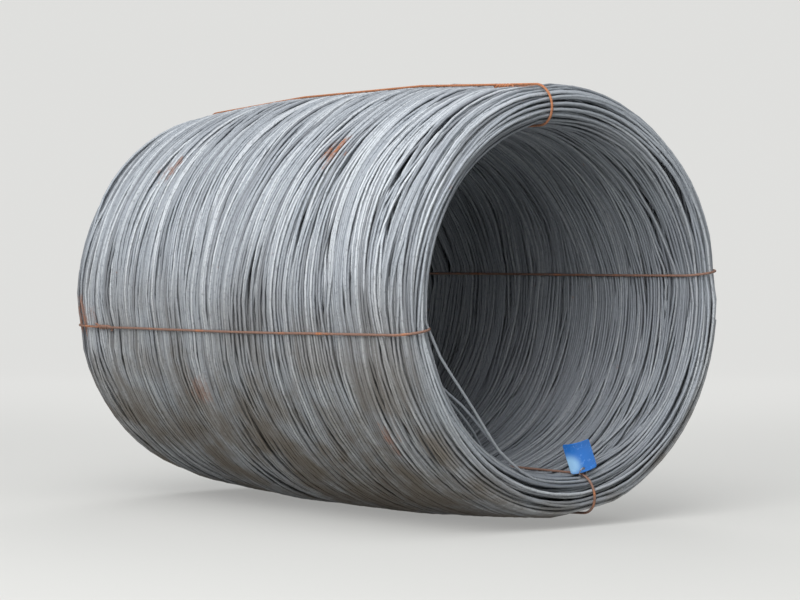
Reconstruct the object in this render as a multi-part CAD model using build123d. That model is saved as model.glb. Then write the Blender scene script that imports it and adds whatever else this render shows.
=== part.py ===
# Coil of wire rod, lying on its side, bound by four tie wires with twisted knots.
# X runs along the coil's axis, with the tagged mouth at +X. Z is up, and the floor is z = 0.
# All lengths are in millimetres and all angles in degrees.
import os
from math import atan, cos, degrees, pi, radians, sin, tan

from build123d import *

# the wound coil
coil_length = 1650.0
middle_length = 560.0  # the straight stretch that the coil lies on
middle_radius = 625.0  # outside of the turns along that stretch
end_radius = 598.0  # what the taper towards each end comes down to
bore_radius = 480.0
end_turns = 6  # turns that show round the full, rounded edge of each end
turn_relief = 5.0  # depth of the valley between two of them

# the tie wires
tie_diameter = 7.0
tie_sides = 6  # flats drawn round each wire
first_tie_angle = 8.5  # from +Y, rising towards +Z, seen from the mouth
tie_sink = 0.6  # how far a tie lies below the turns beside it
seat_gap = 0.3  # clearance between pieces that touch in the real coil
knot_length = 64.0
knot_half_twists = 3  # an odd number brings both ends of the tie out on the same side
bends_per_half_twist = 4  # straight lengths that each strand is drawn with
knot_from_end = 190.0  # from the end of the coil to the middle of the knot
knot_at_mouth = {"right": False, "top": True, "left": False, "bottom": False}

# the tag in the mouth, on the bottom tie
tag_width = 75.0
tag_height = 90.0
tag_thickness = 1.2
tag_corner = 6.0
eyelet_radius = 4.0
eyelet_from_edge = 10.0
tag_turn = 40.0  # how far the tag faces away from the coil's axis
ring_wire_diameter = 2.5
ring_radius = 15.0
ring_bends = 12
ring_turn = 22.0  # how far round the mouth's edge the ring sits, from the bore

half_length = coil_length / 2
taper = atan((middle_radius - end_radius) / (half_length - middle_length / 2))
lip_radius = (end_radius - bore_radius) / (1 + 1 / cos(taper) - tan(taper))
lip_x, lip_z = half_length - lip_radius, bore_radius + lip_radius
tie_radius = tie_diameter / 2
tie_inset = tie_sink + tie_radius  # from the turns' surface in to the tie's centre line
channel_inset = tie_sink + tie_diameter + seat_gap
strand_radius = tie_radius + seat_gap / 4  # from the knot's axis to a strand's centre line
knot_x = half_length - knot_from_end
ring_wire_radius = ring_wire_diameter / 2
ring_lift = ring_radius - ring_wire_radius - tie_radius - seat_gap  # ring's centre off the tie's
eyelet_play = eyelet_radius - ring_wire_radius - seat_gap
tie_angles = {name: first_tie_angle + 90 * step for step, name in enumerate(knot_at_mouth)}


def middle_point(inset):
    """Where the straight stretch ends and the taper begins, or lines that far inside them meet."""
    return middle_length / 2 - inset * tan(taper / 2), middle_radius - inset


def taper_point(x, inset):
    """A point of the taper towards the mouth, or of a line that far inside it."""
    return x, middle_radius - (x - middle_length / 2) * tan(taper) - inset / cos(taper)


def lip_point(turn, inset):
    """A point of the mouth's rounded edge, turned from straight out, over the end, to the bore."""
    return lip_x + (lip_radius - inset) * sin(turn), lip_z + (lip_radius - inset) * cos(turn)


def far(point):
    """The same point at the coil's other end."""
    return -point[0], point[1]


def round_the_wall(inset, gap):
    """A line round the cut wall, that far inside it, with a gap where a tie's knot goes."""
    middle, edge = middle_point(inset), lip_point(taper, inset)
    lip_middle, bore_start = lip_point((taper + pi) / 2, inset), lip_point(pi, inset)
    return Plane.XZ * Wire(
        [
            Line(taper_point(knot_x + gap / 2, inset), edge),
            ThreePointArc(edge, lip_middle, bore_start),
            Line(bore_start, far(bore_start)),
            ThreePointArc(far(bore_start), far(lip_middle), far(edge)),
            Line(far(edge), far(middle)),
            Line(far(middle), middle),
            Line(middle, taper_point(knot_x - gap / 2, inset)),
        ]
    )


def end_ridges():
    """The rounded edge from side to bore: a valley and then a crest for each turn that shows."""
    step = (pi - taper) / end_turns
    ridge = [lip_point(taper, 0)]
    for turn in range(end_turns):
        ridge.append(lip_point(taper + (turn + 0.5) * step, turn_relief))
        ridge.append(lip_point(taper + (turn + 1) * step, 0))
    return ridge


def turned_wall():
    """The wall with its tapered sides, true bore and end turns, spun about the axis."""
    ridge = end_ridges()
    far_ridge = [far(point) for point in reversed(ridge)]
    middle = middle_point(0)
    outline = Polyline(*ridge, *far_ridge, far(middle), middle, close=True)
    return revolve(Plane.XZ * make_face(outline), Axis.X)


def bent_wire(path, radius):
    """A wire with a few flats drawn along the path."""
    section = Plane(origin=path @ 0, z_dir=path % 0) * RegularPolygon(radius, tie_sides)
    return sweep(section, path=path, transition=Transition.RIGHT)


def tie_channel():
    """What a tie presses into the turns: a slot right round the wall, open to the outside."""
    inside, outside = bore_radius / 2, middle_radius + end_radius  # well clear of the wall
    around = Plane.XZ * Pos(0, (inside + outside) / 2) * Rectangle(2 * coil_length, outside - inside)
    face = around - make_face(round_the_wall(channel_inset, 0))
    return extrude(face, amount=tie_radius + seat_gap, both=True)


def in_knot(shape):
    """Moves something drawn along X from zero into the knot's place on the tie's outer leg."""
    x, z = taper_point(knot_x, tie_inset)
    return Pos(x, 0, z) * Rot(0, degrees(taper), 0) * Pos(-knot_length / 2, 0, -strand_radius) * shape


def knot_pocket():
    """The hollow that the thicker knot presses below the channel."""
    room = 2 * (strand_radius + tie_radius + seat_gap)
    box = Box(knot_length + tie_diameter, room, 2 * room, align=(Align.CENTER, Align.CENTER, Align.MIN))
    return in_knot(Pos(knot_length / 2, 0, -room / 2) * box)


def strand():
    """One end of the tie, wound half_twists times round the knot's axis from its top."""
    steps = bends_per_half_twist * knot_half_twists
    turns = [(knot_length * step / steps, pi * step / bends_per_half_twist) for step in range(steps + 1)]
    path = Polyline(*[(x, strand_radius * sin(turn), strand_radius * cos(turn)) for x, turn in turns])
    return bent_wire(path, tie_radius)


def tie_wire():
    """A tie drawn round the wall in the plane y = 0, its two ends twisted together in the knot."""
    bite = 1.5  # the tie runs this far into its own strands, so that they join
    path = round_the_wall(tie_inset, knot_length - 2 * bite)
    one = strand()
    return bent_wire(path, tie_radius) + in_knot(one) + in_knot(Rot(180, 0, 0) * one)


def in_mouth(shape):
    """Moves something drawn over the origin onto a tie where it rounds the mouth's edge."""
    x, z = lip_point(pi - radians(ring_turn), tie_inset)
    return Pos(x, 0, z) * Rot(0, -ring_turn, 0) * shape


def tag_ring(wire_radius):
    """The ring that links the tag and the tie, with a wire that thick."""
    path = Plane.YZ * RegularPolygon(ring_radius, ring_bends).face().outer_wire()
    section = Plane(origin=path @ 0, z_dir=path % 0) * RegularPolygon(wire_radius, tie_sides)
    return in_mouth(Pos(0, 0, -ring_lift) * sweep(section, path=path, transition=Transition.RIGHT))


def tag():
    """A blank plastic tag that stands on edge in the mouth, turned out of it, on the ring."""
    plate = Pos(0, tag_height / 2 - eyelet_from_edge) * RectangleRounded(tag_width, tag_height, tag_corner)
    plate = extrude(Plane.YZ * (plate - Circle(eyelet_radius)), amount=tag_thickness / 2, both=True)
    top = in_mouth(Pos(0, 0, -ring_lift - ring_radius)).position
    return Pos(top.X, 0, top.Z + eyelet_play) * Rot(0, 0, tag_turn) * Rot(180, 0, 0) * plate


def at_tie(shape, name):
    """Turns something drawn at the top of the coil round to the angle of the named tie."""
    return Rot(tie_angles[name] - 90, 0, 0) * shape


def at_knot(shape, name):
    """The same, for something with a knot, which some ties have at the coil's far end."""
    return at_tie(Rot(0, 0, 0 if knot_at_mouth[name] else 180) * shape, name)


def finish(shape, label):
    """Lifts a finished piece so that the coil lies on the floor, and writes its file."""
    lifted = Pos(0, 0, middle_radius) * shape
    export_step(lifted, f"parts/{label}.step")
    print(label, lifted.is_valid, len(lifted.solids()), round(lifted.volume))


os.makedirs("parts", exist_ok=True)
coil = turned_wall() - at_tie(tag_ring(ring_wire_radius + seat_gap), "bottom")
pressed = tie_channel() + knot_pocket()
tie = tie_wire()
for name in knot_at_mouth:
    coil -= at_knot(pressed, name)
    finish(at_knot(tie, name), f"tie_wire_{name}")
finish(coil, "rod_coil")
finish(at_tie(tag(), "bottom"), "tag")
finish(at_tie(tag_ring(ring_wire_radius), "bottom"), "tag_ring")
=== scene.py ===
import math

import bpy
import numpy as np
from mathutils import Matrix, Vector


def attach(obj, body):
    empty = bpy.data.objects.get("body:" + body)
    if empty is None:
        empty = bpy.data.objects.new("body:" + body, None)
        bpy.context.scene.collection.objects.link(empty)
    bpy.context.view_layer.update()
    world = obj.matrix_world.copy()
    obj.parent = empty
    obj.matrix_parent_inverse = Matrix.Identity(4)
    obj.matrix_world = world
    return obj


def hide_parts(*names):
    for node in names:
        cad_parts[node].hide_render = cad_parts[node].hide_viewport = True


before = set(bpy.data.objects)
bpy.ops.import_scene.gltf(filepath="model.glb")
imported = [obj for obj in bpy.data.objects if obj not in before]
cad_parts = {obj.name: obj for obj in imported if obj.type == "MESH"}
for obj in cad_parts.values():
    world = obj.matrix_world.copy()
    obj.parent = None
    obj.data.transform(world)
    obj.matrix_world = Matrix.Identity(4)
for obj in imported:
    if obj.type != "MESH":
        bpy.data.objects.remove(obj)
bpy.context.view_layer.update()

# Coil of wire rod on its side. X is the coil's axis, with the tagged mouth at +X, and the floor is z = 0.
# Lengths are in metres. Angles round the coil go from +Y, rising towards +Z, and are typed in degrees.


# The cut through the wall of the coil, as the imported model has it. Every piece takes its place from this.
wall = {
    "length": 1.65,
    "straight": 0.56,  # the stretch that the coil lies on
    "middleRadius": 0.625,  # outside of the turns along that stretch
    "endRadius": 0.598,  # what the taper towards each end comes down to
    "boreRadius": 0.48,
}
axisHeight = wall["middleRadius"]
halfLength = wall["length"] / 2
taper = math.atan((wall["middleRadius"] - wall["endRadius"]) / (halfLength - wall["straight"] / 2))
# each end is one round edge that meets the taper and the bore
lipRadius = (wall["endRadius"] - wall["boreRadius"]) / (1 + 1 / math.cos(taper) - math.tan(taper))
lipX = halfLength - lipRadius
lipCentre = wall["boreRadius"] + lipRadius

tieSettings = {
    "angles": {"right": 8.5, "top": 98.5, "left": 188.5, "bottom": 278.5},
    "knotEnd": {"right": -1, "top": 1, "left": -1, "bottom": -1},  # 1 is the mouth, -1 the far end
    "diameter": 0.007,
    "depth": 0.0041,  # of the wire's centre line below the turns
    "sides": 10,
    "stepLength": 0.007,  # between rings of the tube
    "edgeSteps": 40,  # points round each rounded end
    "stray": 0.004,  # how far a tie wanders sideways from a straight line
    "strayWaves": (1, 2, 3, 5, 8),  # half waves along the tie that add up to it
    "seed": 20,
    "knotFromEnd": 0.19,  # from the end of the coil to the middle of the knot
    "knotLength": 0.064,
    "knotStep": 0.0016,  # between rings of a strand
    "knotJoin": 0.01,  # share of the knot in which a strand leaves its last point to the tie's loop
    "halfTwists": 5,
    "easedTwist": 0.4,  # share of the twist that is gentler at the knot's two ends
    "strandApart": 1.02,  # a strand's distance from the knot's axis, in wire radii
    "tip": 0.016,  # cut end that stands off each side of the knot
    "tipTurn": 1.7,  # radians that it turns on while it opens
    "tipSpread": 1.6,  # how much further it stands from the axis, as a share of the strand's distance
    "tipCurve": 1.5,  # power with which it opens, so that it leaves the knot gently
}


def linear(hexColour):  # sRGB hex to the linear numbers that a shader takes
    values = [int(hexColour[i : i + 2], 16) / 255 for i in (1, 3, 5)]
    return tuple(v / 12.92 if v <= 0.04045 else ((v + 0.055) / 1.055) ** 2.4 for v in values) + (1.0,)


def addNode(tree, kind, settings=None, links=None, out=0):
    # one node with its settings and what feeds it. Returns the output asked for, or all of them for None.
    made = tree.nodes.new(kind)
    for name, value in (settings or {}).items():
        if isinstance(name, int) or name in made.inputs:
            made.inputs[name].default_value = value
        else:
            setattr(made, name, value)
    for name, source in (links or {}).items():
        tree.links.new(source, made.inputs[name])
    return made.outputs if out is None else made.outputs[out]


def newMaterial(name):  # a material with its node tree and its shader
    material = bpy.data.materials.new(name)
    material.use_nodes = True
    return material, material.node_tree, material.node_tree.nodes["Principled BSDF"]


def makePiece(name, corners, faces, material, slot=None, attributes=None, bakeMap=None):
    # corners is n by 3 and faces is m by 4, both whole arrays. A piece with a slot, all but the stage, hangs
    # on the root body.
    mesh = bpy.data.meshes.new(name)
    mesh.vertices.add(len(corners))
    mesh.vertices.foreach_set("co", np.ascontiguousarray(corners, np.float32).ravel())
    mesh.loops.add(faces.size)
    mesh.loops.foreach_set("vertex_index", np.ascontiguousarray(faces, np.int32).ravel())
    mesh.polygons.add(len(faces))
    mesh.polygons.foreach_set("loop_start", np.arange(len(faces), dtype=np.int32) * 4)
    mesh.update(calc_edges=True)
    mesh.polygons.foreach_set("use_smooth", np.ones(len(faces), bool))
    for key, values in (attributes or {}).items():
        mesh.attributes.new(key, "FLOAT", "POINT").data.foreach_set("value", values.astype(np.float32))
    if bakeMap is not None:
        mesh.uv_layers.new(name="OFBake").uv.foreach_set("vector", bakeMap.astype(np.float32).ravel())
    mesh.materials.append(material)
    piece = bpy.data.objects.new(name, mesh)
    bpy.context.scene.collection.objects.link(piece)
    if slot:
        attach(piece, "root")
    return piece


def ringFaces(rings, count, joined=False):
    # Four-cornered faces between neighbouring rings of so many points. Every ring is closed, and where joined
    # is set, the last ring meets the first.
    ring, side = np.meshgrid(np.arange(rings if joined else rings - 1), np.arange(count), indexing="ij")
    nextRing, after = (ring + 1) % rings * count, (side + 1) % count
    ring = ring * count
    return np.stack([ring + side, ring + after, nextRing + after, nextRing + side], -1).reshape(-1, 4)


closedRadius = 1e-5  # what the first and last ring of a tube are drawn in to


def tube(path, outward, radius, sides):
    # A circle carried along a path: point + radius times (cos a times normal + sin a times across). The
    # normal is the outward direction made square to the path. One more ring at each end is drawn in to
    # close it.
    tangent = np.gradient(path, axis=0)
    tangent /= np.linalg.norm(tangent, axis=1, keepdims=True)
    normal = outward - (outward * tangent).sum(1, keepdims=True) * tangent
    normal /= np.linalg.norm(normal, axis=1, keepdims=True)
    across = np.cross(tangent, normal)
    path, normal, across = (np.concatenate([v[:1], v, v[-1:]]) for v in (path, normal, across))
    width = np.full(len(path), float(radius))
    width[[0, -1]] = closedRadius
    turn = 2 * np.pi * np.arange(sides) / sides
    ring = np.cos(turn)[None, :, None] * normal[:, None] + np.sin(turn)[None, :, None] * across[:, None]
    corners = (path[:, None] + width[:, None, None] * ring).reshape(-1, 3)
    return corners, ringFaces(len(path), sides)


def easeIn(value, start=0.0):  # from 0 at the start to 1 at 1, with no corner at either end
    value = np.clip((value - start) / (1 - start), 0, 1)
    return value * value * (3 - 2 * value)


def lengthAlong(line):  # how far along a line of points each one lies
    return np.concatenate([[0], np.cumsum(np.linalg.norm(np.diff(line, axis=0), axis=1))])


def angleFrom(a, degreesAt):  # signed difference in degrees, with a in radians
    return (np.degrees(a) - degreesAt + 180) % 360 - 180


def outsideAt(x, inset):  # radius of the outside at x: level along the straight stretch, then the taper
    return wall["middleRadius"] - np.maximum(np.abs(x) - wall["straight"] / 2, 0) * math.tan(taper) - inset


windingSettings = {
    "rodDiameter": 0.008,
    "drawnWider": 1.04,  # because six sides look thinner than a round rod
    "sides": 6,
    "turns": 1150,
    "pieces": 5,
    "seed": 3,
    "placesPerTurn": 64,  # where the height of the pile is known round the coil
    "stepsPerTurn": 62.3,  # rings of the tube, out of step with the places so that no ridge lines up
    "cell": 0.001,  # the pile's top is known in cells this wide across the wall
    "stiffPlaces": 3,  # a turn's height is smoothed over so many places either way
    "stiffPasses": 3,
    "joinPlaces": 5.0,  # over which a step from one turn to the next dies out
    "leastWalk": 0.10,  # how far round a turn's outermost point moves on from the last one's, in turns
    "mostWalk": 0.42,
    "reach": 1.0,  # how much of the wall a turn spans, and how much that varies
    "reachSpread": 0.03,
    "outOfRound": {2: 0.02, 3: 0.015},  # how far a turn strays as an oval and as a rounded triangle
    "calmFrom": 0.84,  # how far towards an end the turns begin to lie rounder, and by how much
    "calm": 0.62,
    "closeFrom": 0.86,  # how far towards an end they begin to lie closer, and by how much at the very end
    "close": 0.6,
    "roundFrom": 0.55,  # how far towards an end they begin to follow its round edge
    "levelFrom": 0.55,  # how far up the pile the press that bundled it has begun to level it
    "levelPatch": (3, 9),  # places and cells either way that the level is averaged over
    "mouthTurns": 40,  # the last turns, whose reach bounds what is levelled
    "headroom": 0.004,  # that a turn may lie above the mean level
    "press": 0.0075,  # how far a tie has pressed the turns in
    "pressWidth": 3.6,  # degrees
    "knotPress": 0.06,  # half of the length over which a knot presses deeper
    "lean": 0.016,  # how far turns lean along the axis, one side against the other
    "leanUntil": 0.7,  # how far towards an end that begins to fade
    "leanWaves": ((7.3, 0.6), (5.9, -1.1)),  # radians a metre and where each starts, sideways and upright
}


def wander(rng, t, amount):  # a random value for each turn, joined by straight lines along the rod
    return np.interp(t, np.arange(int(t[-1]) + 2), rng.normal(0, amount, int(t[-1]) + 2))


def planTurns(s):
    # Where each turn lies across the wall, as a laying head drops it. With the angle a and a phase p that
    # walks on, the rod's distance from the bore is the room in the wall times (1 + reach cos(a - p)) / 2.
    # Returns the number of turns so far, that distance and the room, for each place along the rod.
    rng = np.random.default_rng(s["seed"])
    turns, places = s["turns"], s["placesPerTurn"]
    t, each = np.arange(turns * places) / places, np.arange(turns + 2)
    walk = np.interp(t, each, rng.uniform(s["leastWalk"], s["mostWalk"], turns + 2))
    phase = 2 * np.pi * np.cumsum(walk) / places
    ends = s["calm"] * easeIn(np.abs(2 * t / turns - 1), s["calmFrom"])
    reach = s["reach"] * (1 - ends) + wander(rng, t, s["reachSpread"])
    a = 2 * np.pi * t
    u = reach * np.cos(a - phase) + ends * np.interp(t, each, rng.uniform(-1, 1, turns + 2))
    for waves, stray in s["outOfRound"].items():
        u += wander(rng, t, stray) * np.cos(waves * a) + wander(rng, t, stray) * np.sin(waves * a)
    room = outsideAt((t / turns - 0.5) * wall["length"], s["rodDiameter"]) - wall["boreRadius"]
    return t, (np.clip(u, -1, 1) + 1) / 2 * room, room


def pileTurns(s, away, room):
    # The turns lie one on another. A place's height is the top of what lies below it, smoothed because the
    # rod is stiff. That top is kept in cells across the wall, and each turn raises those that it covers to
    # its height + root of (diameter squared - distance squared). Returns the heights and the last top.
    turns, places, d, cell = s["turns"], s["placesPerTurn"], s["rodDiameter"], s["cell"]
    cells = int(np.ceil(room.max() / cell)) + 2
    near = np.arange(-int(d / cell), int(d / cell) + 1)
    top, rows = np.zeros((places, cells)), np.arange(places)
    height = np.zeros(len(away))
    either = s["stiffPlaces"]
    kernel = np.exp(-0.5 * np.arange(-either, either + 1) ** 2)
    kernel /= kernel.sum()
    for turn in range(turns):
        span = slice(turn * places, (turn + 1) * places)
        k = away[span] / cell
        low = k.astype(int)
        under = top[rows, low] * (1 - k + low) + top[rows, low + 1] * (k - low)
        before = height[turn * places - either : turn * places] if turn else np.full(either, under[0])
        laid = under.copy()
        for _ in range(s["stiffPasses"]):
            line = np.concatenate([before, laid, np.full(either, laid[-2:].mean())])
            laid = np.maximum(under, np.convolve(line, kernel, "valid"))
        if turn:  # leads out of the last turn with no step
            step = 2 * before[-1] - before[-2] - laid[0]
            laid += step * np.exp(-rows / s["joinPlaces"])
        height[span] = laid
        cover = np.round(k).astype(int)[:, None] + near[None]
        column = np.clip(cover, 0, cells - 1)
        apart = np.abs(column * cell - away[span][:, None])
        inside = (cover >= 0) & (cover < cells) & (apart < d)
        raised = np.where(inside, laid[:, None] + np.sqrt(np.maximum(d * d - apart**2, 0)), 0)
        np.maximum.at(top, (np.repeat(rows, len(near)), column.ravel()), raised.ravel())
    return height, top


def smoothTop(top, rowsEach, cellsEach):
    # a plain average of the pile's top over a patch, round the coil and across the wall
    wide = sum(np.roll(top, k, 0) for k in range(-rowsEach, rowsEach + 1)) / (2 * rowsEach + 1)
    padded = np.pad(wide, ((0, 0), (cellsEach, cellsEach)), mode="edge")
    return sum(padded[:, k : k + top.shape[1]] for k in range(2 * cellsEach + 1)) / (2 * cellsEach + 1)


def levelPile(s, away, height, top):
    # Each place's height as a share of the whole pile. The higher up it lies, the more is added of what the
    # smoothed top above it falls short of the mean top.
    places, cell = s["placesPerTurn"], s["cell"]
    width = int(away[-places * s["mouthTurns"] :].max() / cell)
    level = smoothTop(top[:, :width], *s["levelPatch"])
    row = np.arange(len(away)) % places
    column = np.clip((away / cell).astype(int), 0, level.shape[1] - 1)
    full = level.mean()
    height = height + easeIn(height / full, s["levelFrom"]) * (full - level[row, column])
    print("turns piled up", round(float(full), 2), "m high")
    return np.clip(height / (full + s["headroom"]), 0, 1)


def pressedIn(s, a, x):
    # How far the ties have pressed the turns in at angle a and place x. Each tie adds a furrow, which is e to
    # the power of -(angle / width) squared / 2 across it, and deeper by the wire's thickness at its knot.
    depth = 0
    for name, at in tieSettings["angles"].items():
        furrow = np.exp(-0.5 * (angleFrom(a, at) / s["pressWidth"]) ** 2)
        knotX = tieSettings["knotEnd"][name] * (halfLength - tieSettings["knotFromEnd"])
        atKnot = np.exp(-(((x - knotX) / s["knotPress"]) ** 4))
        depth = depth + furrow * (s["press"] + tieSettings["diameter"] * atKnot)
    return depth


def intoWall(s, a, u, share):
    # From the pile to the wall of the coil. x grows with the share of the height, in smaller steps near the
    # ends, and the distance from the axis goes from the bore to the outside with u. Near the ends x is drawn
    # back by what the round edge falls short there. All lies inside the outline by the rod and the press.
    along = 2 * share - 1
    past = np.maximum(np.abs(along) - s["closeFrom"], 0)
    along = along - np.sign(along) * s["close"] * past**2 / (2 * (1 - s["closeFrom"]))
    along /= 1 - s["close"] * (1 - s["closeFrom"]) / 2
    inset = s["rodDiameter"] / 2 + pressedIn(s, a, along * halfLength)
    flatX = along * (halfLength - inset)
    inner, outer = wall["boreRadius"] + inset, outsideAt(flatX, inset)
    radial = inner + u * (outer - inner)
    edge = lipRadius - inset
    off = np.clip(np.abs(radial - lipCentre) / edge, 0, 1)
    drop = edge * (1 - np.sqrt(1 - off**2))
    x = flatX - np.sign(flatX) * easeIn(np.abs(flatX) / halfLength, s["roundFrom"]) * drop

    # each part of the coil leans its own way
    lean = s["lean"] * (1 - easeIn(np.abs(x) / halfLength, s["leanUntil"]))
    (waveY, startY), (waveZ, startZ) = s["leanWaves"]
    x = x + lean * (np.sin(waveY * x + startY) * np.cos(a) + np.cos(waveZ * x + startZ) * np.sin(a))
    return x, radial


looseTurns = {  # two numbers are the first turn's value and what each next one adds to it
    "count": 6,
    "middle": (219, 4),  # where it is, round the coil
    "half": (21, -2),  # degrees that it spans either way from there
    "blend": 16,  # degrees at each side over which it leaves the bore
    "from": (0.74, -0.05),  # the stretch of the coil that it is taken from
    "to": (0.80, -0.03),
    "nearBore": 0.25,  # share of the wall, from the bore, that it is taken from
    "sink": 0.004,  # of the centre line below the chord
}


def slipOffBore(steps, a, u, x, radial):
    # A few turns near the mouth have slipped off the bore and span its lower left as chords. A chord's
    # distance from the axis is bore radius times cos(half its angle) / cos(angle from its middle), and it
    # blends into the turn at each side.
    s = looseTurns
    for k in range(s["count"]):
        middle, half, low, high = (s[key][0] + s[key][1] * k for key in ("middle", "half", "from", "to"))
        fromMiddle = angleFrom(a, middle)
        chord = np.cos(np.radians(np.clip(fromMiddle, -half, half)))
        chord = wall["boreRadius"] * math.cos(math.radians(half)) / chord - s["sink"]
        near = np.abs(fromMiddle) < half + s["blend"]
        candidates = np.unique(np.floor(steps[near & (u < s["nearBore"]) & (x > low) & (x < high)]))
        if len(candidates):
            here = near & (np.floor(steps) == candidates[-1 - k % len(candidates)])
            share = easeIn((half + s["blend"] - np.abs(fromMiddle)) / s["blend"]) * here
            radial = radial + share * (np.minimum(chord, radial) - radial)
    return radial


def windRod(s):
    # The rod's centre line, the direction out of the coil and the number of turns so far, at each ring of the
    # tube: x along the axis, and the distance from the axis times (cos a, sin a) in y and z.
    t, away, room = planTurns(s)
    share = levelPile(s, away, *pileTurns(s, away, room))
    steps = np.arange(int(s["turns"] * s["stepsPerTurn"])) / s["stepsPerTurn"]
    steps = steps[steps < t[-1]]
    u, share = np.interp(steps, t, away / room), np.interp(steps, t, share)
    a = 2 * np.pi * steps
    x, radial = intoWall(s, a, u, share)
    radial = slipOffBore(steps, a, u, x, radial)
    outward = np.stack([np.zeros_like(a), np.cos(a), np.sin(a)], 1)
    path = radial[:, None] * outward
    path[:, 0] = x
    path[:, 2] += axisHeight
    return path, outward, steps


mapMargin = 0.08  # share of a strip that is left free on both of its sides


def turnMap(s, rings):
    # The map for the export, corner by corner as ringFaces has them: about each turn is one strip, with the
    # length of the rod along it and its girth up it.
    perRow = int(s["stepsPerTurn"])
    step, side = np.meshgrid(np.arange(rings - 1), np.arange(s["sides"]), indexing="ij")
    rows, girth = (rings - 1) // perRow + 1, (1 - 2 * mapMargin) / s["sides"]
    left, right = (step % perRow) / perRow, (step % perRow + 1) / perRow
    low = (step // perRow + mapMargin + girth * side) / rows
    high = low + girth / rows
    return np.stack([left, low, left, high, right, high, right, low], -1).reshape(-1, 2)


def rodPieces(material):
    s = windingSettings
    path, outward, steps = windRod(s)
    cuts = np.linspace(0, len(path) - 1, s["pieces"] + 1).astype(int)
    for k in range(s["pieces"]):
        part = slice(cuts[k], cuts[k + 1] + 1)
        corners, faces = tube(path[part], outward[part], s["rodDiameter"] / 2 * s["drawnWider"], s["sides"])
        rings = len(corners) // s["sides"]
        turn = np.repeat(np.concatenate([steps[part][:1], steps[part], steps[part][-1:]]), s["sides"])
        name = f"rod_turns_{k + 1}"
        piece = makePiece(name, corners, faces, material, "rod_steel", {"turn": turn}, turnMap(s, rings))
        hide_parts("rod_coil")


def lipPoint(turn, inset):
    # round the mouth's edge, turned from straight out to the bore: its centre + radius times (sin, cos)
    radius = lipRadius - inset
    return np.stack([lipX + radius * np.sin(turn), lipCentre + radius * np.cos(turn)], -1)


def toTie(points, angle, flip=1):
    # From the top of the coil to a tie's place, turned about the axis and lifted off the floor. Before that,
    # x is along the coil, y is sideways and z is out from the axis. A flip of -1 swaps the ends.
    turn = math.radians(angle - 90)
    x, y, z = points.T * np.array([[flip], [flip], [1]])
    y, z = y * math.cos(turn) - z * math.sin(turn), y * math.sin(turn) + z * math.cos(turn)
    return np.stack([x, y, z + axisHeight], -1)


def tieLoop(s, rng):
    # The tie without its knot: along the outside to the mouth, over its edge, through the bore, over the far
    # edge and back along the outside, with half waves sideways that are nothing at both ends.
    depth, half = s["depth"], s["knotLength"] / 2
    knotX = halfLength - s["knotFromEnd"]
    edge, far = np.linspace(taper, np.pi, s["edgeSteps"]), np.array([-1, 1])
    start, end = knotX + half, knotX - half
    middle = np.array([wall["straight"] / 2 - depth * math.tan(taper / 2), wall["middleRadius"] - depth])
    line = np.concatenate([
        [[start, outsideAt(start, depth / math.cos(taper))]],
        lipPoint(edge, depth),
        lipPoint(edge, depth)[::-1] * far,
        [middle * far, middle],
        [[end, outsideAt(end, depth / math.cos(taper))]],
    ])
    gone = lengthAlong(line)
    at = np.linspace(0, gone[-1], int(gone[-1] / s["stepLength"]))
    share = at / gone[-1]
    side = sum(rng.normal(0, s["stray"] / k) * np.sin(np.pi * k * share) for k in s["strayWaves"])
    return np.stack([np.interp(at, gone, line[:, 0]), side, np.interp(at, gone, line[:, 1])], -1)


def knotStrand(s, sign):
    # One strand of the knot, half a turn from the other: axis point + radius times (sin p sideways +
    # cos p out), with p growing along the knot. Past the knot its cut end opens out sideways.
    radius, size = s["diameter"] / 2 * s["strandApart"], s["knotLength"]
    along = np.array([math.cos(taper), 0, -math.sin(taper)])
    out = np.array([math.sin(taper), 0, math.cos(taper)])
    knotX = halfLength - s["knotFromEnd"]
    axis = np.array([knotX, 0, outsideAt(knotX, s["depth"] / math.cos(taper))]) - radius * out
    q = np.arange(-s["tip"], size + s["tip"] + 1e-9, s["knotStep"]) / size  # 0 to 1 within the knot
    within = np.clip(q, 0, 1)
    p = np.pi * s["halfTwists"] * ((1 - s["easedTwist"]) * within + s["easedTwist"] * easeIn(within))
    opened = np.clip(np.abs(q - within) * size / s["tip"], 0, 1)
    p = p + np.sign(q - 0.5) * opened * s["tipTurn"]
    wide = sign * radius * (1 + s["tipSpread"] * opened ** s["tipCurve"])
    points = axis + ((q - 0.5) * size)[:, None] * along
    return q, points + wide[:, None] * (np.sin(p)[:, None] * [0, 1, 0] + np.cos(p)[:, None] * out)


def tiePath(s, seed):
    # from one cut end through the knot, once round the wall and through the knot again to the other cut end
    q, first = knotStrand(s, -1)
    last = knotStrand(s, 1)[1]
    loop = tieLoop(s, np.random.default_rng(seed))
    return np.concatenate([first[q <= 1 - s["knotJoin"]], loop, last[q >= s["knotJoin"]]])


def tiePieces(material):
    s = tieSettings
    for k, (name, angle) in enumerate(s["angles"].items()):
        path = tiePath(s, s["seed"] + k)
        sideways = np.broadcast_to([0.0, 1.0, 0.0], path.shape)
        corners, faces = tube(path, sideways, s["diameter"] / 2, s["sides"])
        corners = toTie(corners, angle, s["knotEnd"][name])
        piece = makePiece(f"tie_{name}", corners, faces, material, "tie_steel")
        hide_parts(f"tie_wire_{name}")


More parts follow.
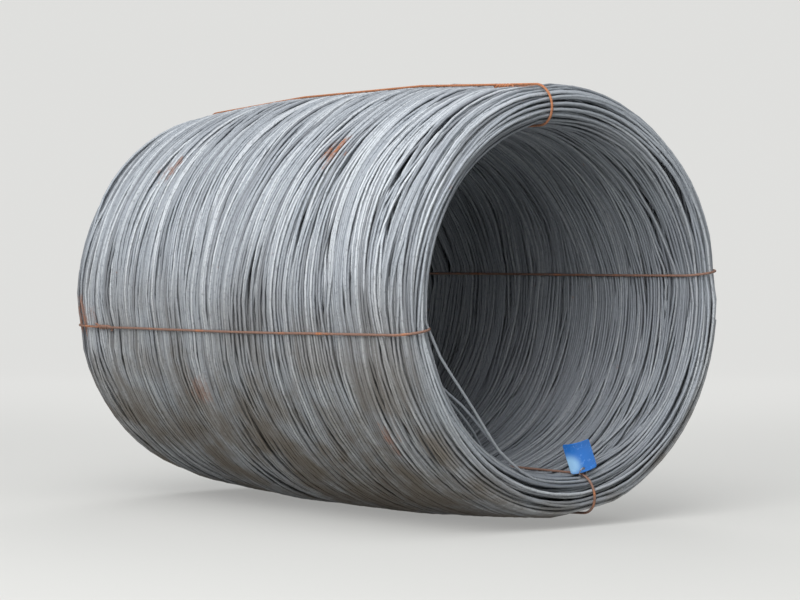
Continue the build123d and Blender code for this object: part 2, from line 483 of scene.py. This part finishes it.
tagSettings = {
    "width": 0.075,
    "height": 0.090,
    "thickness": 0.0014,
    "corner": 0.006,
    "eyelet": 0.004,
    "eyeletFromEdge": 0.010,
    "turn": 40.0,  # how far it faces away from the coil's axis
    "lean": 14.0,  # how far it has tipped sideways about its ring
    "curl": 0.013,  # how far its sides have bent back
    "twist": 0.5,  # share of the curl that goes from corner to corner
    "lipBend": 3.2,  # share of the curl by which its lower part bends the other way
    "lipFrom": 0.6,  # how far down that begins
    "softEdge": 0.4,  # share of the thickness that is left flat at its edges
    "loops": (0.012, 0.12, 0.25, 0.4, 0.55, 0.7, 0.85, 0.95, 0.992),  # of points, from eyelet to outline
    "cornerSteps": 9,
    "outlineSteps": 72,
    # where the painted highlight sits and how big it is
    "paintedHighlightPlace": (0.8, 0.2),  # sideways and down, as shares of the tag
    "paintedHighlightSize": (0.75, 0.4),
    "gap": 0.0003,  # between the tie, the ring and the eyelet
    "ringRadius": 0.015,
    "ringWire": 0.0025,
    "ringTurn": 22.0,  # how far round the mouth's edge the ring sits, from the bore
    "ringOverlap": 0.25,  # radians by which each of its ends goes on past the other
    "ringPitch": 0.55,  # wire widths that each end is moved aside for that
    "ringSteps": 60,
    "ringSides": 10,
}


def tagOutline(s):
    # the rounded outline about the eyelet, sideways and downwards, with its points spread evenly along it
    c, w, above = s["corner"], s["width"] / 2, s["eyeletFromEdge"]
    h = s["height"] - above
    quarter = np.linspace(0, np.pi / 2, s["cornerSteps"])
    turns = np.concatenate([quarter + k * np.pi / 2 for k in range(4)])
    cornerX = np.repeat([w - c, c - w, c - w, w - c], s["cornerSteps"])
    cornerY = np.repeat([h - c, h - c, c - above, c - above], s["cornerSteps"])
    rough = np.stack([cornerX + c * np.cos(turns), cornerY + c * np.sin(turns)], -1)
    rough = np.concatenate([rough, rough[:1]])
    gone = lengthAlong(rough)
    at = np.union1d(gone[:-1], np.linspace(0, gone[-1], s["outlineSteps"], endpoint=False))
    return np.stack([np.interp(at, gone, rough[:, 0]), np.interp(at, gone, rough[:, 1])], -1)


def tagSheet(s, hang):
    # The sheet's cut, carried round: out from the eyelet along one face, over the edge and back along the
    # other. A point is eyelet + share times (outline - eyelet), moved off the flat by the curl, which grows
    # with the square of the way to a side. Returns the points, the faces and the share of painted highlight
    # at each point.
    outline = tagOutline(s)
    hole = s["eyelet"] * outline / np.linalg.norm(outline, axis=1, keepdims=True)
    half, loops = s["thickness"] / 2, np.array(s["loops"])
    soft = half * s["softEdge"]
    share = np.concatenate([loops, [1, 1], loops[::-1], [0, 0]])
    level = np.full(len(loops), half)
    off = np.concatenate([level, [soft, -soft], -level, [-soft, soft]])
    flat = hole[None] + share[:, None, None] * (outline - hole)[None]
    v, down = flat[..., 0], flat[..., 1]
    across, below = v / (s["width"] / 2), down / (s["height"] - s["eyeletFromEdge"])
    bend = s["curl"] * (across**2 + s["twist"] * across * below)
    bend -= s["curl"] * s["lipBend"] * np.maximum(below - s["lipFrom"], 0) ** 2
    face = off[:, None] - bend
    turn = math.radians(s["turn"])
    points = (
        hang
        + v.ravel()[:, None] * np.array([-math.sin(turn), math.cos(turn), 0])
        + face.ravel()[:, None] * np.array([math.cos(turn), math.sin(turn), 0])
        - down.ravel()[:, None] * np.array([0, 0, 1])
    )
    # a painted highlight, towards one side near the eyelet
    fromSide = (across - s["paintedHighlightPlace"][0]) / s["paintedHighlightSize"][0]
    fromTop = (below - s["paintedHighlightPlace"][1]) / s["paintedHighlightSize"][1]
    paintedHighlight = np.exp(-(fromSide**2) - fromTop**2).ravel()
    return points, ringFaces(len(share), len(outline), joined=True), paintedHighlight


def ringLine(s, seat, away, lift):
    # The ring goes round the tie, and its two ends pass each other, so its line is a short helix:
    # centre + ring radius times (cos p sideways + sin p away from the turns), moved across as p grows.
    p = np.linspace(-s["ringOverlap"], 2 * np.pi + s["ringOverlap"], s["ringSteps"])
    across = np.cross(away, [0, 1, 0])
    path = np.cos(p)[:, None] * np.array([0, 1, 0]) + np.sin(p)[:, None] * away
    path = seat + lift * away + s["ringRadius"] * path
    path = path + ((p - np.pi) / np.pi * s["ringWire"] * s["ringPitch"])[:, None] * across
    return path, np.broadcast_to(across, path.shape)


def tagPieces(tagMaterial, ringMaterial):
    s, tie = tagSettings, tieSettings
    turn = math.radians(180 - s["ringTurn"])
    x, z = lipPoint(np.array(turn), tie["depth"])
    seat = np.array([x, 0, z])
    away = np.array([math.sin(turn), 0, math.cos(turn)])
    lean = math.radians(s["lean"])

    def placed(points):  # tips a shape sideways about the tie that the ring hangs on, then takes it there
        q = points - seat
        y = q[:, 1] * math.cos(lean) - q[:, 2] * math.sin(lean)
        up = q[:, 1] * math.sin(lean) + q[:, 2] * math.cos(lean)
        return toTie(np.stack([q[:, 0], y, up], -1) + seat, tie["angles"]["bottom"])

    lift = s["ringRadius"] - s["ringWire"] / 2 - tie["diameter"] / 2 - s["gap"]
    path, across = ringLine(s, seat, away, lift)
    corners, faces = tube(path, across, s["ringWire"] / 2, s["ringSides"])
    ring = makePiece("ring_of_tag", placed(corners), faces, ringMaterial, "tag_ring_steel")
    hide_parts("tag_ring")

    play = s["eyelet"] - s["ringWire"] / 2 - s["gap"]
    hang = seat + (lift + s["ringRadius"]) * away + [0, 0, play]
    points, faces, paintedHighlight = tagSheet(s, hang)
    tag = makePiece("tag_sheet", placed(points), faces, tagMaterial, "tag_plastic", {"paintedHighlight": paintedHighlight})
    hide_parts("tag")


# Kinds of node and settings that come back in the materials. Sockets go by number. A Map Range takes the
# value at 0 from between 1 and 2 to between 3 and 4, which are 0 and 1 where they aren't given. A Mix has the
# share of its second colour at 0 and its two colours at 6 and 7. The finishes hold such numbers as they are.
noise, mapRange, mix = "ShaderNodeTexNoise", "ShaderNodeMapRange", "ShaderNodeMix"
numberMath, vectorMath = "ShaderNodeMath", "ShaderNodeVectorMath"
smooth, colours = {"interpolation_type": "SMOOTHSTEP"}, {"data_type": "RGBA"}

rodFinish = {
    "scaleColour": "#9da3aa",  # cool blue-grey of fresh mill scale
    "paleColour": "#bcc1c6",  # where the scale has rubbed thin
    "darkColour": "#6c7076",
    "dustAndShadeColour": "#696157",  # yard dust and painted shade low on the side
    "rustColour": "#a66c48",
    "metallic": 0.38,
    "strand": {"noise_dimensions": "1D", "Scale": 1.9, "Detail": 2.0},  # about two changes of colour a turn
    "darkStrand": {1: 0.34, 2: 0.52, 3: 0.75, 4: 0.0},
    "paleStrand": {1: 0.50, 2: 0.66},
    "flake": {"Scale": 95.0, "Detail": 6.0, "Roughness": 0.75},  # 10 mm, from bending the rod into turns
    "darkFlake": {1: 0.52, 2: 0.64, 3: 0.0, 4: 0.5},
    "roughness": {1: 0.35, 2: 0.65, 3: 0.56, 4: 0.76},  # by the flakes
    "grain": {"Scale": 260.0, "Detail": 3.0, "Roughness": 0.7},  # 4 mm, coarser than real so that it shows
    "bump": {"Strength": 0.25, "Distance": 0.0006},
    # painted shade in the bore
    "paintedBoreShade": {1: 0.49, 2: 0.53, 3: 0.55, 4: 0.0},  # by the distance from the axis
    "dustAndShadeOutside": {1: 0.50, 2: 0.60},  # likewise
    "dustAndShadeHeight": {1: 0.15, 2: 0.85, 3: 0.95, 4: 0.04},  # by the height above the floor
    "patch": {"Scale": 5.0, "Detail": 5.0, "Roughness": 0.6},  # 200 mm
    "dustAndShadePatch": {1: 0.35, 2: 0.62, 3: 0.35, 4: 1.0},
    "bloom": {"Scale": 22.0, "Detail": 4.0, "Roughness": 0.65},  # 45 mm, coarser than real so that it shows
    "rustBloom": {1: 0.70, 2: 0.80, 3: 0.0, 4: 0.5},
    "rustSpeck": {1: 0.36, 2: 0.56, 3: 0.4, 4: 1.0},  # by the flakes
    "raggedEdge": {1: 0.3, 2: 0.7, 3: -0.03, 4: 0.03},  # metres by which the bloom moves a patch's edge
    "turnEdge": {3: -0.02, 4: 0.035},  # and each turn for itself
    "rustCore": 0.2,  # share of a patch's radius within which it is full
    "rustPlaces": (  # middle, radius and strength of each patch where the coil has stood wet
        ((0.34, -0.46, 1.04), 0.055, 1.0),
        ((-0.45, -0.47, 1.02), 0.040, 0.5),
        ((0.70, -0.05, 1.20), 0.060, 0.9),
        ((-0.76, -0.57, 0.57), 0.070, 0.7),
        ((0.65, -0.48, 0.26), 0.060, 0.5),
        ((-0.17, -0.57, 0.36), 0.070, 0.3),
        ((-0.12, 0.49, 1.00), 0.050, 0.8),
        ((0.46, 0.57, 0.42), 0.060, 0.5),
        ((-0.74, 0.35, 1.08), 0.060, 0.7),
    ),
}


def rustPatches(tree, here, turn, flake):
    # how rusty each place is: round patches with ragged edges that each turn breaks up in its own way, and
    # faint blooms between them, all of it speckled by the flakes
    f = rodFinish
    bloom = addNode(tree, noise, f["bloom"], {"Vector": here})
    ragged = addNode(tree, mapRange, f["raggedEdge"], {0: bloom})
    wholeTurn = addNode(tree, numberMath, {"operation": "FLOOR"}, {0: turn})
    ownTurn = addNode(tree, "ShaderNodeTexWhiteNoise", {"noise_dimensions": "1D"}, {"W": wholeTurn}, "Value")
    ownTurn = addNode(tree, mapRange, f["turnEdge"], {0: ownTurn})
    ragged = addNode(tree, numberMath, {"operation": "ADD"}, {0: ragged, 1: ownTurn})
    rust = addNode(tree, mapRange, {**smooth, **f["rustBloom"]}, {0: bloom})
    for middle, size, strength in f["rustPlaces"]:
        away = addNode(tree, vectorMath, {"operation": "DISTANCE", 1: middle}, {0: here}, "Value")
        away = addNode(tree, numberMath, {"operation": "ADD"}, {0: away, 1: ragged})
        fading = {**smooth, 1: size, 2: size * f["rustCore"], 4: strength}
        spot = addNode(tree, mapRange, fading, {0: away})
        rust = addNode(tree, numberMath, {"operation": "MAXIMUM"}, {0: rust, 1: spot})
    speck = addNode(tree, mapRange, {**smooth, **f["rustSpeck"]}, {0: flake})
    return addNode(tree, numberMath, {"operation": "MULTIPLY"}, {0: rust, 1: speck})


def millScaleSteel():
    # Hot-rolled low-carbon steel in its mill scale: a thin blue-grey oxide skin, half dull, that gives each
    # turn a soft shine along it. Stretches are rubbed pale, others are darker, and rust shows where it stood
    # wet.
    f = rodFinish
    material, tree, shader = newMaterial("hotRolledMillScale")
    here = addNode(tree, "ShaderNodeTexCoord", out="Object")
    turn = addNode(tree, "ShaderNodeAttribute", {"attribute_name": "turn"}, out="Fac")
    strand = addNode(tree, noise, f["strand"], {"W": turn})
    patch = addNode(tree, noise, f["patch"], {"Vector": here})
    grain = addNode(tree, noise, f["grain"], {"Vector": here})
    flake = addNode(tree, noise, f["flake"], {"Vector": here})
    scale, pale, dark = (linear(f[key]) for key in ("scaleColour", "paleColour", "darkColour"))
    dim = addNode(tree, mapRange, {**smooth, **f["darkStrand"]}, {0: strand})
    rubbed = addNode(tree, mapRange, {**smooth, **f["paleStrand"]}, {0: strand})
    flaked = addNode(tree, mapRange, {**smooth, **f["darkFlake"]}, {0: flake})
    colour = addNode(tree, mix, {**colours, 6: scale, 7: dark}, {0: dim}, 2)
    colour = addNode(tree, mix, {**colours, 7: pale}, {0: rubbed, 6: colour}, 2)
    colour = addNode(tree, mix, {**colours, 7: dark}, {0: flaked, 6: colour}, 2)

    # painted shade: darker in the bore, where shade falls deep inside the coil
    axisToZero = {"operation": "MULTIPLY_ADD", 1: (0, 1, 1), 2: (0, 0, -axisHeight)}
    fromAxis = addNode(tree, vectorMath, axisToZero, {0: here})
    radius = addNode(tree, vectorMath, {"operation": "LENGTH"}, {0: fromAxis}, "Value")
    inside = addNode(tree, mapRange, {**smooth, **f["paintedBoreShade"]}, {0: radius})
    colour = addNode(tree, mix, {**colours, 7: dark}, {0: inside, 6: colour}, 2)

    # dust and painted shade on the outside, in patches, more of it low down
    outside = addNode(tree, mapRange, {**smooth, **f["dustAndShadeOutside"]}, {0: radius})
    height = addNode(tree, "ShaderNodeSeparateXYZ", {}, {0: here}, 2)
    # the darkening towards the floor is painted shade as well as dust
    low = addNode(tree, mapRange, {**smooth, **f["dustAndShadeHeight"]}, {0: height})
    patch = addNode(tree, mapRange, {**smooth, **f["dustAndShadePatch"]}, {0: patch})
    dustAndShade = addNode(tree, numberMath, {"operation": "MULTIPLY"}, {0: low, 1: patch})
    dustAndShade = addNode(tree, numberMath, {"operation": "MULTIPLY"}, {0: dustAndShade, 1: outside})
    colour = addNode(tree, mix, {**colours, 7: linear(f["dustAndShadeColour"])}, {0: dustAndShade, 6: colour}, 2)

    rust = rustPatches(tree, here, turn, flake)
    colour = addNode(tree, mix, {**colours, 7: linear(f["rustColour"])}, {0: rust, 6: colour}, 2)
    rough = addNode(tree, mapRange, f["roughness"], {0: flake})
    rough = addNode(tree, numberMath, {"operation": "ADD", "use_clamp": True}, {0: rough, 1: rust})
    tree.links.new(colour, shader.inputs["Base Color"])
    tree.links.new(rough, shader.inputs["Roughness"])
    shader.inputs["Metallic"].default_value = f["metallic"]
    tree.links.new(addNode(tree, "ShaderNodeBump", f["bump"], {"Height": grain}), shader.inputs["Normal"])
    return material


tieFinish = {
    "rustColour": "#876759",
    "brightRust": "#b5744c",
    "darkColour": "#5a463c",
    "roughness": 0.82,
    "patch": {"Scale": 14.0, "Detail": 4.0},  # 70 mm
    "brightPatch": {1: 0.54, 2: 0.70},
    "paintedTopLight": {1: 0.95, 2: 1.2, 4: 0.9},  # by the height: painted light, rust drawn brighter up there where light falls from above
    "grain": {"Scale": 420.0, "Detail": 3.0},  # 2 to 3 mm, coarser than real rust so that it shows
    "darkGrain": {1: 0.38, 2: 0.52, 3: 0.6, 4: 0.0},
    "bump": {"Strength": 0.5, "Distance": 0.0004},
}


def rustedTieWire():
    # Annealed low-carbon tie wire left bare: its soft black oxide has gone to matt orange-brown rust.
    f = tieFinish
    material, tree, shader = newMaterial("rustedAnnealedWire")
    here = addNode(tree, "ShaderNodeTexCoord", out="Object")
    patch = addNode(tree, noise, f["patch"], {"Vector": here})
    grain = addNode(tree, noise, f["grain"], {"Vector": here})
    bright = addNode(tree, mapRange, {**smooth, **f["brightPatch"]}, {0: patch})
    height = addNode(tree, "ShaderNodeSeparateXYZ", {}, {0: here}, 2)
    # painted light: brighter rust high up on the coil
    paintedTopLight = addNode(tree, mapRange, {**smooth, **f["paintedTopLight"]}, {0: height})
    bright = addNode(tree, numberMath, {"operation": "MAXIMUM"}, {0: bright, 1: paintedTopLight})
    dark = addNode(tree, mapRange, {**smooth, **f["darkGrain"]}, {0: grain})
    twoColours = {**colours, 6: linear(f["rustColour"]), 7: linear(f["brightRust"])}
    colour = addNode(tree, mix, twoColours, {0: bright}, 2)
    colour = addNode(tree, mix, {**colours, 7: linear(f["darkColour"])}, {0: dark, 6: colour}, 2)
    tree.links.new(colour, shader.inputs["Base Color"])
    shader.inputs["Roughness"].default_value = f["roughness"]
    tree.links.new(addNode(tree, "ShaderNodeBump", f["bump"], {"Height": grain}), shader.inputs["Normal"])
    return material


tagFinish = {
    "colour": "#2a73c8",
    "scuffColour": "#6fa6e6",
    # pale blue of the painted highlight
    "paintedHighlightColour": "#a5d2f4",
    "scuff": {"Scale": 70.0, "Detail": 5.0, "Roughness": 0.7},  # 14 mm
    "scuffed": {1: 0.5, 2: 0.75, 3: 0.0, 4: 0.45},
    "paintedHighlight": {1: 0.15, 2: 0.9, 4: 0.85},  # by the piece's attribute
    "roughness": {1: 0.3, 2: 0.7, 3: 0.14, 4: 0.32},  # by the scuffs
    "refraction": 1.49,
}


def glossyTagPlastic():
    # Injection-moulded polypropylene, dyed through: an even strong blue with a soft gloss, scuffed a little
    # paler, and with a painted highlight where its attribute says so.
    f = tagFinish
    material, tree, shader = newMaterial("mouldedPolypropylene")
    here = addNode(tree, "ShaderNodeTexCoord", out="Object")
    scuff = addNode(tree, noise, f["scuff"], {"Vector": here})
    scuffed = addNode(tree, mapRange, {**smooth, **f["scuffed"]}, {0: scuff})
    twoColours = {**colours, 6: linear(f["colour"]), 7: linear(f["scuffColour"])}
    colour = addNode(tree, mix, twoColours, {0: scuffed}, 2)
    # painted highlight, paler where the attribute says so
    paintedHighlight = addNode(tree, "ShaderNodeAttribute", {"attribute_name": "paintedHighlight"}, out="Fac")
    paintedHighlight = addNode(tree, mapRange, {**smooth, **f["paintedHighlight"]}, {0: paintedHighlight})
    colour = addNode(tree, mix, {**colours, 7: linear(f["paintedHighlightColour"])}, {0: paintedHighlight, 6: colour}, 2)
    tree.links.new(colour, shader.inputs["Base Color"])
    tree.links.new(addNode(tree, mapRange, f["roughness"], {0: scuff}), shader.inputs["Roughness"])
    shader.inputs["IOR"].default_value = f["refraction"]
    return material


ringFinish = {
    "wireColour": "#9a9c9e",
    "rustColour": "#8a5f45",
    "freckle": {"Scale": 300.0, "Detail": 3.0},  # 3 mm
    "rust": {1: 0.48, 2: 0.6},
    "roughness": {3: 0.4, 4: 0.8},  # of the bare wire and of its rust
    "metallic": 0.9,
}


def bareRingWire():
    # Thin drawn steel wire, bright once and now dull, with the first brown freckles of rust.
    f = ringFinish
    material, tree, shader = newMaterial("dulledDrawnWire")
    here = addNode(tree, "ShaderNodeTexCoord", out="Object")
    freckle = addNode(tree, noise, f["freckle"], {"Vector": here})
    rust = addNode(tree, mapRange, {**smooth, **f["rust"]}, {0: freckle})
    twoColours = {**colours, 6: linear(f["wireColour"]), 7: linear(f["rustColour"])}
    tree.links.new(addNode(tree, mix, twoColours, {0: rust}, 2), shader.inputs["Base Color"])
    tree.links.new(addNode(tree, mapRange, f["roughness"], {0: rust}), shader.inputs["Roughness"])
    shader.inputs["Metallic"].default_value = f["metallic"]
    return material


stageSettings = {
    "floorColour": "#bdbdba",
    "floorRoughness": 0.9,
    "lookColour": "#eeeeec",  # what camera and mirror rays see of it
    "look": {1: 1.0, 2: 9.0, 3: 0.36, 4: 0.82},  # share of that, by the distance from the middle
    "flatRadii": (0.0, 2.0, 6.0),  # rings of the flat floor
    "flatRadius": 13.0,
    "wallRadius": 19.0,
    "wallHeight": 12.0,
    "bendSteps": 17,
    "sides": 96,
    "worldColour": "#eef1f4",
    "worldStrength": 0.46,
    "lampTarget": (0, 0, 0.6),
    "lamps": {  # place, size and power
        "key": ((4.3, -5.8, 4.9), 6.0, 680.0),
        "top": ((1.6, -1.6, 6.2), 5.5, 190.0),
        "back": ((-5.0, 4.2, 4.8), 4.0, 190.0),
    },
}


def paintedFloor():
    # Matt grey paint under the lamps, so that it takes the coil's shadow. Camera and mirror rays also see a
    # plain pale glow, which gives the eye a light background without more light on the coil.
    s = stageSettings
    material, tree, shader = newMaterial("paintedFloor")
    shader.inputs["Base Color"].default_value = linear(s["floorColour"])
    shader.inputs["Roughness"].default_value = s["floorRoughness"]
    rays = addNode(tree, "ShaderNodeLightPath", out=None)
    seen = {0: rays["Is Camera Ray"], 1: rays["Is Glossy Ray"]}
    seen = addNode(tree, numberMath, {"operation": "MAXIMUM"}, seen)
    here = addNode(tree, "ShaderNodeTexCoord", out="Object")
    far = addNode(tree, vectorMath, {"operation": "LENGTH"}, {0: here}, "Value")
    far = addNode(tree, mapRange, {**smooth, **s["look"]}, {0: far})
    share = addNode(tree, numberMath, {"operation": "MULTIPLY"}, {0: seen, 1: far})
    glow = addNode(tree, "ShaderNodeEmission", {"Color": linear(s["lookColour"])})
    both = addNode(tree, "ShaderNodeMixShader", {}, {0: share, 1: shader.outputs[0], 2: glow})
    tree.links.new(both, tree.nodes["Material Output"].inputs["Surface"])
    return material


def studioBowl():
    # a profile turned about the upright: a flat floor that curves up into a wall far outside every camera
    s = stageSettings
    bend = s["wallRadius"] - s["flatRadius"]
    curve = np.linspace(0, np.pi / 2, s["bendSteps"])
    out = np.concatenate([s["flatRadii"], s["flatRadius"] + bend * np.sin(curve), [s["wallRadius"]]])
    up = np.concatenate([np.zeros(len(s["flatRadii"])), bend * (1 - np.cos(curve)), [s["wallHeight"]]])
    a = 2 * np.pi * np.arange(s["sides"]) / s["sides"]
    corners = [np.outer(out, np.cos(a)), np.outer(out, np.sin(a)), np.outer(up, np.ones(len(a)))]
    faces = ringFaces(len(out), len(a))[:, [0, 3, 2, 1]]  # turned over, so that they face the coil
    makePiece("studio_floor", np.stack(corners, -1).reshape(-1, 3), faces, paintedFloor())


def aimed(piece, place, target):
    piece.location = place
    piece.rotation_euler = (Vector(target) - Vector(place)).to_track_quat("-Z", "Y").to_euler()


def softLight(name, place, size, power):
    lamp = bpy.data.lights.new(name, "AREA")
    lamp.size, lamp.energy = size, power
    piece = bpy.data.objects.new(name, lamp)
    bpy.context.scene.collection.objects.link(piece)
    aimed(piece, place, stageSettings["lampTarget"])
    piece.visible_camera = False


def lightScene():
    s = stageSettings
    world = bpy.data.worlds.new("paleStudio")
    bpy.context.scene.world = world
    world.use_nodes = True
    background = world.node_tree.nodes["Background"]
    background.inputs["Color"].default_value = linear(s["worldColour"])
    background.inputs["Strength"].default_value = s["worldStrength"]
    for name, (place, size, power) in s["lamps"].items():
        softLight(name, place, size, power)
    bpy.context.scene.view_settings.view_transform = "Standard"


cameraSettings = {"place": (5.63, -4.48, 0.70), "target": (0.03, 0.03, 0.62), "lens": 108.0, "sensor": 36.0}


def placeCamera():
    s = cameraSettings
    data = bpy.data.cameras.new("camera")
    data.lens, data.sensor_width = s["lens"], s["sensor"]
    piece = bpy.data.objects.new("camera", data)
    bpy.context.scene.collection.objects.link(piece)
    aimed(piece, s["place"], s["target"])
    bpy.context.scene.camera = piece


placeCamera()
lightScene()
studioBowl()
print("stage ready")
rodPieces(millScaleSteel())
print("rod wound")
tiePieces(rustedTieWire())
tagPieces(glossyTagPlastic(), bareRingWire())
print("ties, ring and tag made")
